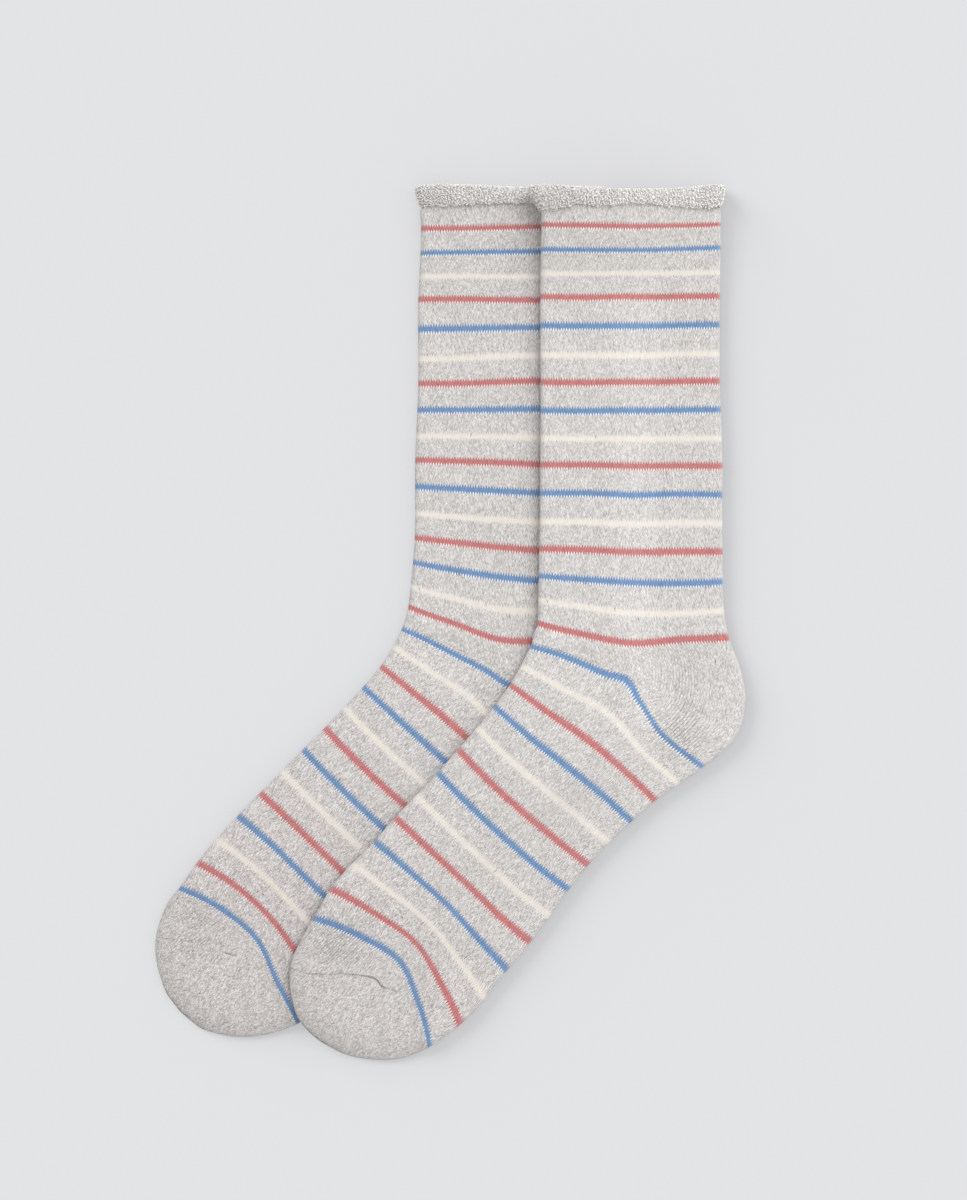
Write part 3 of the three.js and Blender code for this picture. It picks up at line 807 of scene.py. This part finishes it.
# Light: the way towards each sun, its power and the degrees it spans, and an even sky
SOCK_KEY = dict(source=(0.55, 0.75, 1.0), power=2.1, spread=50)
FLOOR_KEY = dict(source=(-1.5, 1.1, 0.9), power=3.0, spread=40)
KEY_COLOUR = (1, 1, 1)
SKY_COLOUR = (1, 1, 1)
SKY_POWER = 0.92

# Camera: what it looks at, how much height it takes in at that level above the table, and its lens
VIEW_CENTRE = (14.49, 9.03)
VIEW_HEIGHT = 504
VIEW_LEVEL = 6
LENS = 85
SENSOR = 36


class Nodes:
    """Builds one material; each method adds a node and returns the socket that carries its value."""

    def __init__(self, name):
        self.material = bpy.data.materials.new(name)
        self.material.use_nodes = True
        self.tree = self.material.node_tree
        self.shader = self.tree.nodes["Principled BSDF"]

    def give(self, socket, value):
        """Link a socket's value, or set a plain one."""
        if isinstance(value, bpy.types.NodeSocket):
            self.tree.links.new(value, socket)
        else:
            socket.default_value = value

    def add(self, kind, output, inputs, **settings):
        node = self.tree.nodes.new(kind)
        for name, value in settings.items():
            setattr(node, name, value)
        for name, value in inputs.items():
            self.give(node.inputs[name], value)
        return node.outputs[output]

    def math(self, operation, *values):
        node = self.tree.nodes.new("ShaderNodeMath")
        node.operation = operation
        for socket, value in zip(node.inputs, values):
            self.give(socket, value)
        return node.outputs[0]

    def sum(self, first, *others):
        for other in others:
            first = self.math("ADD", first, other)
        return first

    def times(self, first, *others):
        for other in others:
            first = self.math("MULTIPLY", first, other)
        return first

    def scaled(self, value, factor, offset):
        return self.math("MULTIPLY_ADD", value, factor, offset)

    def uneven(self, value, amount):
        """A value from 0 to 1 turned into unevenness about zero."""
        return self.scaled(value, amount, -amount / 2)

    def hill(self, value):
        """1 where the value is half, falling to 0 at 0 and at 1."""
        off = self.scaled(value, 2, -1)
        return self.math("SUBTRACT", 1, self.times(off, off))

    def layer(self, name):
        """Both channels of a UV layer."""
        uv = self.add("ShaderNodeUVMap", "UV", {}, uv_map=name)
        node = self.tree.nodes.new("ShaderNodeSeparateXYZ")
        self.give(node.inputs[0], uv)
        return node.outputs["X"], node.outputs["Y"]

    def place(self, x, y, z=0.0):
        return self.add("ShaderNodeCombineXYZ", "Vector", {"X": x, "Y": y, "Z": z})

    def noise(self, vector, detail, roughness):
        inputs = {"Vector": vector, "Scale": 1.0, "Detail": detail, "Roughness": roughness}
        return self.add("ShaderNodeTexNoise", "Fac", inputs)

    def chance(self, vector):
        """A random value from 0 to 1 for each place."""
        return self.add("ShaderNodeTexWhiteNoise", "Value", {"Vector": vector})

    def mix(self, share, first, second, blend="MIX"):
        node = self.tree.nodes.new("ShaderNodeMix")
        node.data_type = "RGBA"
        node.blend_type = blend
        self.give(node.inputs[0], share)
        self.give(node.inputs[6], first)
        self.give(node.inputs[7], second)
        return node.outputs[2]

    def stretched(self, vector, factor):
        """A colour made lighter or darker, or a place made larger or smaller, by a factor."""
        node = self.tree.nodes.new("ShaderNodeVectorMath")
        node.operation = "SCALE"
        self.give(node.inputs[0], vector)
        self.give(node.inputs["Scale"], factor)
        return node.outputs[0]

    def finish(self, colour, height, depth):
        """The yarn's surface, with a colour and with relief of so many metres."""
        relief_of = {"Height": height, "Strength": 1.0, "Distance": depth}
        bump = self.add("ShaderNodeBump", "Normal", relief_of)
        self.give(self.shader.inputs["Base Color"], colour)
        self.give(self.shader.inputs["Normal"], bump)
        self.shader.inputs["Roughness"].default_value = ROUGHNESS
        self.shader.inputs["Specular IOR Level"].default_value = SPECULAR
        self.shader.inputs["Sheen Weight"].default_value = SHEEN
        self.shader.inputs["Sheen Roughness"].default_value = SHEEN_ROUGHNESS
        return self.material


def knit_material():
    """Plain knit in marled yarn, with its stripes, counted by stitches and courses."""
    n = Nodes("sock_knit")
    wale, course = n.layer("stitches")
    on_foot, narrower = n.layer("heel")
    tone, ribbed = n.layer("tone")
    seam_distance, seam_depth = n.layer("seam")

    # A stitch is a V: aside is 0 at the middle of its wale and 1 at the edges, and strand counts courses
    # along the slanting legs.
    aside = n.math("ABSOLUTE", n.scaled(n.math("FRACT", wale), 2, -1))
    strand = n.sum(course, n.scaled(aside, -SLANT, SLANT / 2 + 0.5))
    stitch = n.math("FLOOR", strand)
    along = n.hill(n.math("FRACT", strand))
    across = n.hill(aside)
    height = n.times(
        n.scaled(along, 1 - STITCH_END, STITCH_END), n.scaled(across, 1 - STITCH_SIDE, STITCH_SIDE)
    )
    leg = n.math("FLOOR", n.times(wale, LEGS_PER_WALE))
    fibre_row = n.math("FLOOR", n.times(strand, FIBRES_PER_COURSE))
    fibre_column = n.math("FLOOR", n.times(wale, FIBRES_PER_WALE))

    fleck = n.chance(n.place(leg, stitch))
    fibre = n.chance(n.place(fibre_column, fibre_row, FIBRE_DRAW))
    streak_place = n.place(n.times(wale, LEGS_PER_WALE), n.times(strand, STREAKS_PER_COURSE))
    streak = n.noise(streak_place, detail=2, roughness=0.6)
    patch_place = n.place(
        n.times(wale, PATCHES_PER_WALE), n.times(course, PATCHES_PER_COURSE), PATCH_DRAW
    )
    patch = n.noise(patch_place, detail=1, roughness=0.5)
    uneven = n.sum(
        n.uneven(fleck, FLECK), n.uneven(fibre, FINE), n.uneven(streak, STREAK), n.uneven(patch, PATCH)
    )
    # Painted shade darkens the foot, toe and under sock; where deeper, the marl is more uneven and
    # warmer
    painted_darkness = n.scaled(tone, -WARMTH, WARMTH)
    marl = n.sum(n.times(uneven, n.scaled(painted_darkness, TOE_MARL, LEG_MARL)), MARL_MIDDLE)
    marl = n.add("ShaderNodeClamp", "Result", {"Value": marl})
    yarn = n.mix(marl, MARL_DARK, MARL_LIGHT)

    # Stripes are numbered from the mouth, and their colours take turns: 0 red, 1 blue, 2 cream.
    last_stripe = LAST_STRIPE_COURSE / STRIPE_COURSES
    stripe = n.math("ROUND", n.times(stitch, 1 / STRIPE_COURSES))
    beyond = n.math("SUBTRACT", stitch, n.times(stripe, STRIPE_COURSES))
    from_middle = n.math("SUBTRACT", strand, n.scaled(stripe, STRIPE_COURSES, 0.5))
    from_half_way = n.math("ABSOLUTE", n.sum(stripe, -last_stripe / 2))
    knitted = n.math("LESS_THAN", from_half_way, last_stripe / 2 + 0.5)
    past_heel = n.sum(stripe, -GORE_COURSE / STRIPE_COURSES)
    right_side = n.math("GREATER_THAN", n.times(past_heel, n.scaled(on_foot, 2, -1)), 0)
    shown = n.times(knitted, right_side)
    rounds = n.math("FLOOR", n.scaled(stripe, 1 / COLOURS, SURELY_WHOLE))
    turn = n.math("SUBTRACT", stripe, n.times(rounds, COLOURS))
    blue = n.math("COMPARE", turn, 1, 0.5)
    cream = n.math("COMPARE", turn, 2, 0.5)
    narrower = n.sum(narrower, n.times(blue, BLUE_NARROWING))
    inside = n.math("LESS_THAN", n.sum(n.math("ABSOLUTE", from_middle), narrower), STRIPE_HALF)
    dyed = n.mix(cream, n.mix(blue, RED, BLUE), CREAM)
    calm = n.scaled(cream, -CREAM_CALM, 1)
    dyed_uneven = n.sum(
        n.uneven(fleck, DYED_GRAIN), n.uneven(fibre, DYED_GRAIN), n.uneven(streak, DYED_STREAK)
    )
    dyed = n.stretched(dyed, n.sum(1, n.times(dyed_uneven, calm)))
    yarn = n.mix(n.times(inside, shown), yarn, dyed)

    next_course = n.math("LESS_THAN", n.math("ABSOLUTE", n.sum(beyond, -WHITE_COURSE)), 0.5)
    gap = n.math("LESS_THAN", aside, WHITE_WIDTH)
    lifted = n.math("GREATER_THAN", fleck, WHITE_MISSING)
    beside = n.times(next_course, n.scaled(inside, -1, 1), shown, n.scaled(cream, -1, 1))
    yarn = n.mix(n.times(beside, gap, lifted, WHITE_STRENGTH), yarn, FLECK_WHITE)
    nep = n.math("GREATER_THAN", n.chance(n.place(leg, stitch, NEP_DRAW)), NEP_SHARE)
    yarn = n.mix(n.times(nep, NEP_STRENGTH), yarn, NEP)

    off_seam = n.math("POWER", n.times(seam_distance, 1 / SEAM_WIDTH), 2)
    groove = n.times(seam_depth, n.math("EXPONENT", n.times(off_seam, -1)))
    rib_gap = n.times(ribbed, n.math("POWER", aside, RIB_SHARPNESS))
    calm_height = n.scaled(n.times(inside, shown, cream), -CREAM_FLAT, 1)
    speck = n.math("GREATER_THAN", n.chance(n.place(leg, fibre_row, SPECK_DRAW)), SPECK_SHARE)
    dark = n.sum(
        1,
        n.times(speck, -SPECK_SHADE),
        n.times(n.scaled(height, GROOVE_SHADE, -GROOVE_SHADE), calm_height),
        n.times(rib_gap, -RIB_SHADE),
        n.times(groove, -SEAM_SHADE),
    )
    tinted = n.mix(painted_darkness, yarn, WARM, "MULTIPLY")
    bump = n.sum(
        n.times(height, calm_height),
        n.times(rib_gap, -RIB_BUMP),
        n.times(groove, -SEAM_BUMP),
        n.times(streak, STREAK_BUMP),
    )
    # The finished colour takes the painted shade here.
    return n.finish(n.stretched(tinted, n.times(dark, tone)), bump, STITCH_DEPTH)


def loop_material():
    """Marled yarn of the terry loops, darker where a loop goes down into the pile."""
    n = Nodes("terry_loops")
    shade, along = n.layer("yarn")
    lit = n.scaled(n.hill(along), 1 - PILE_SHADE, PILE_SHADE)
    place = n.add("ShaderNodeTexCoord", "Object", {})
    grain = n.noise(n.stretched(place, LOOP_GRAIN_SCALE), detail=2, roughness=0.6)
    lightness = n.times(lit, n.scaled(grain, LOOP_GRAIN, 1 - LOOP_GRAIN / 2))
    colour = n.stretched(n.mix(shade, LOOP_DARK, LOOP_LIGHT), lightness)
    return n.finish(colour, grain, LOOP_GRAIN_DEPTH)


def floor_material():
    """Pale matt paper, very slightly uneven."""
    n = Nodes("pale_floor")
    place = n.add("ShaderNodeTexCoord", "Object", {})
    grain = n.noise(n.stretched(place, FLOOR_GRAIN_SCALE), detail=2, roughness=0.5)
    lightness = n.scaled(grain, FLOOR_GRAIN, 1 - FLOOR_GRAIN / 2)
    n.give(n.shader.inputs["Base Color"], n.stretched(FLOOR[:3], lightness))
    n.shader.inputs["Roughness"].default_value = 1
    n.shader.inputs["Specular IOR Level"].default_value = 0
    n.shader.inputs["Emission Color"].default_value = FLOOR_GLOW
    n.shader.inputs["Emission Strength"].default_value = FLOOR_GLOW_STRENGTH
    return n.material


def make_floor():
    """The sheet that the socks lie on."""
    mesh = bpy.data.meshes.new("floor")
    edge = FLOOR_SIZE / 2
    corners = [(-edge, -edge, 0), (edge, -edge, 0), (edge, edge, 0), (-edge, edge, 0)]
    mesh.from_pydata(corners, [], [(0, 1, 2, 3)])
    mesh.materials.append(floor_material())
    floor = bpy.data.objects.new("floor", mesh)
    floor.location.z = -FLOOR_DROP
    bpy.context.scene.collection.objects.link(floor)
    return floor


def make_key(name, lit, source, power, spread):
    """A large soft light from one side, for the things in one collection."""
    key = bpy.data.lights.new(name, "SUN")
    key.energy = power
    key.angle = math.radians(spread)
    key.color = KEY_COLOUR
    lamp = bpy.data.objects.new(name, key)
    lamp.rotation_euler = Vector(source).to_track_quat("Z", "Y").to_euler()
    lamp.light_linking.receiver_collection = lit
    bpy.context.scene.collection.objects.link(lamp)


def make_sky():
    """Even light from all round."""
    world = bpy.data.worlds.new("studio")
    world.use_nodes = True
    background = world.node_tree.nodes["Background"]
    background.inputs["Color"].default_value = (*SKY_COLOUR, 1)
    background.inputs["Strength"].default_value = SKY_POWER
    bpy.context.scene.world = world


def make_camera():
    """Straight down over the photograph's middle."""
    camera = bpy.data.cameras.new("camera")
    camera.sensor_fit = "VERTICAL"
    camera.sensor_height = SENSOR
    camera.lens = LENS
    holder = bpy.data.objects.new("camera", camera)
    away = VIEW_HEIGHT * LENS / SENSOR
    holder.location = (
        (VIEW_CENTRE[0] + SHIFT[0]) * MM, (VIEW_CENTRE[1] + SHIFT[1]) * MM, (VIEW_LEVEL + away) * MM
    )
    bpy.context.scene.collection.objects.link(holder)
    bpy.context.scene.camera = holder


# seed and phase: chance of the loops, and of the soft unevenness. Then painted shade: how light its leg
# is drawn.
# flat: width all round and length of the cloth. creases: x1, y1, x2, y2, width, depth.
# seam: x, y, depth of the linked line. ribbed: x, y, radius, amount where the wales stand out.
# gore: the corner of the heel. high and low: waves of the roll's two edges, towards the mouth.
# flare and tuck: how far the upper and the lower edge stand out at the front and at the back fold.
SOCKS = {
    "under_sock": dict(
        rows=UNDER_SOCK,
        outline=UNDER_OUTLINE,
        ground=under_ground,
        seed=11,
        phase=1.3,
        tone=0.97,
        flat=(0.155, 0.42),
        creases=(
            (-18.5, -2.7, 2.5, -17.0, 4.5, 0.5),
            (-77.3, -129.6, -70.0, -136.0, 4.0, 0.35),
            (-108.8, -134.6, -93.2, -139.2, 2.0, 0.2),
        ),
        seam=np.array([
            (-123.5, -133.3, 0), (-121.0, -133.4, 0.3), (-114.0, -133.4, 0.2), (-104.6, -135.2, 0.05),
            (-95.5, -138.8, 0.1), (-93.7, -139.4, 0.75), (-91.1, -140.0, 0.5), (-89.5, -140.4, 0),
        ]),
        ribbed=((-105, -128, 22, 0.5),),
        gore=(30, -28),
        flare=(0.4, 0),
        tuck=(-2.2, 0),
        high=(-0.7, -0.1, -0.1, -0.3, -0.9, -1.2, -0.9, -0.9, -0.9, -0.9),
        low=(1.0, 1.4, 1.1, 1.8, 2.3, 2.3, 2.3, 2.0, 1.6, 1.2),
    ),
    "top_sock": dict(
        rows=TOP_SOCK,
        outline=plan_outline(TOP_SOCK),
        ground=top_ground,
        seed=12,
        phase=0,
        tone=1.0,
        flat=(0.155, 0.42),
        creases=(
            (93.7, -28.8, 97.0, -37.2, 3.0, 0.45),
            (97.0, -37.2, 112.6, -42.2, 3.5, 0.35),
            (51.7, -80.0, 52.9, -92.6, 3.0, 0.25),
            (100.4, 101.4, 105.4, 63.6, 6.0, 0.25),
            (-32.3, -148.0, -23.9, -155.6, 2.2, 0.25),
        ),
        seam=np.array([
            (-68.0, -145.2, 0), (-65.5, -145.5, 0.4), (-62.6, -146.0, 0.3), (-60.8, -146.5, 0.1),
            (-59.2, -147.2, 0.6), (-53.3, -147.3, 0.5), (-51.0, -147.3, 0.05), (-46.2, -147.0, 0.25),
            (-41.6, -147.3, 0.35), (-37.0, -147.7, 0.5), (-31.9, -148.8, 0.9), (-29.8, -150.2, 1),
            (-28.6, -152.4, 0.7), (-26.9, -153.7, 0.9), (-25.2, -153.9, 0.15), (-22.7, -154.8, 0.4),
            (-21.4, -155.2, 0),
        ]),
        ribbed=((-45, -135, 20, 0.9), (97, -48, 20, 0.9), (98, -22, 27, 0.5)),
        gore=(75.2, -22.9),
        flare=(4.2, 0.3),
        tuck=(-1.9, -1.7),
        high=(-1.7, -1.3, -2.2, -2.8, -3.0, -2.6, -2.1, -1.0, 0.1, 0.3),
        low=(-2.2, -1.4, 0.9, 0, 0.9, 1.5, 0.6, 0.6, 0.3, 1.0),
    ),
}


knit = knit_material()
terry = loop_material()
pieces = []
for name, sock in SOCKS.items():
    piece, roll, normals = make_knit(name + "_knit", sock, knit)
    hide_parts(name)
    loops = make_loops(name + "_loops", sock, roll, normals, terry)
    pieces += [piece, loops]

lit_socks = bpy.data.collections.new("lit_socks")
for piece in pieces:
    lit_socks.objects.link(piece)
lit_floor = bpy.data.collections.new("lit_floor")
lit_floor.objects.link(make_floor())
make_key("sock_key", lit_socks, **SOCK_KEY)
make_key("floor_key", lit_floor, **FLOOR_KEY)
make_sky()
make_camera()
bpy.context.scene.view_settings.view_transform = "Standard"
